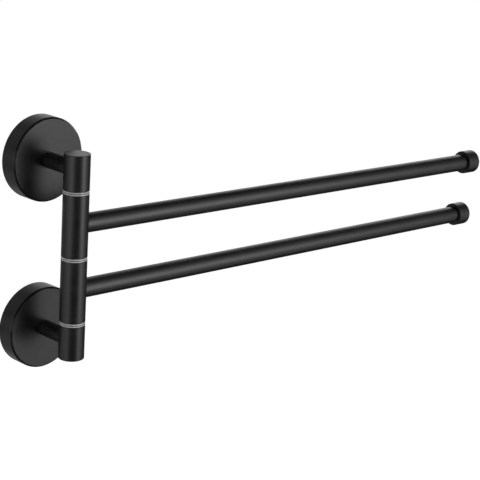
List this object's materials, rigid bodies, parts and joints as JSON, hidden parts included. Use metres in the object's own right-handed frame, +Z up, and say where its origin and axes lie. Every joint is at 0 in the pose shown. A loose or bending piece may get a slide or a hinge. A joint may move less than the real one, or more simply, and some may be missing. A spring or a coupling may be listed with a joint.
{
  "type": "towel rack",
  "caption": "Wall towel rack with straight swing-out bars that turn one above the other on an upright column held by round flanges.",
  "frame": {"origin": "wall plane, at the centre of the four wall screws", "axes": "+X along the wall towards the bars' free ends at rest, +Y into the wall, +Z up"},
  "size_m": [0.3815, 0.0772, 0.1588],
  "materials": {
    "black_coat": "matt black powder coat on steel",
    "zinc_plate": "bright zinc plated steel",
    "screw_steel": "stainless steel fastener",
    "spindle_steel": "turned steel rod",
    "clear_nylon": "translucent nylon",
    "bush_plastic": "natural acetal"
  },
  "bodies": {
    "wall_frame": {"upper_mounting_plate": "zinc_plate", "upper_flange_cover": "black_coat", "upper_neck": "black_coat", "upper_neck_screw": "screw_steel", "upper_grub_screw": "screw_steel", "upper_holder": "black_coat", "lower_mounting_plate": "zinc_plate", "lower_flange_cover": "black_coat", "lower_neck": "black_coat", "lower_neck_screw": "screw_steel", "lower_grub_screw": "screw_steel", "lower_holder": "black_coat", "spindle": "spindle_steel", "upper_washer": "clear_nylon", "middle_washer": "clear_nylon", "lower_washer": "clear_nylon", "clamp_screw": "screw_steel", "spring_washer": "screw_steel"},
    "upper_arm": {"upper_sleeve": "black_coat", "upper_top_bush": "bush_plastic", "upper_bottom_bush": "bush_plastic", "upper_bar_tube": "black_coat", "upper_end_cap": "black_coat"},
    "lower_arm": {"lower_sleeve": "black_coat", "lower_top_bush": "bush_plastic", "lower_bottom_bush": "bush_plastic", "lower_bar_tube": "black_coat", "lower_end_cap": "black_coat"}
  },
  "joints": [
    {"name": "upper_arm_swing", "type": "hinge", "parent": "wall_frame", "child": "upper_arm", "pos_m": [0, -0.038, 0.0195], "axis": [0, 0, -1], "range_deg": [-9.5, 179.5]},
    {"name": "lower_arm_swing", "type": "hinge", "parent": "wall_frame", "child": "lower_arm", "pos_m": [0, -0.038, -0.0215], "axis": [0, 0, -1], "range_deg": [-8.9, 180.1]}
  ]
}
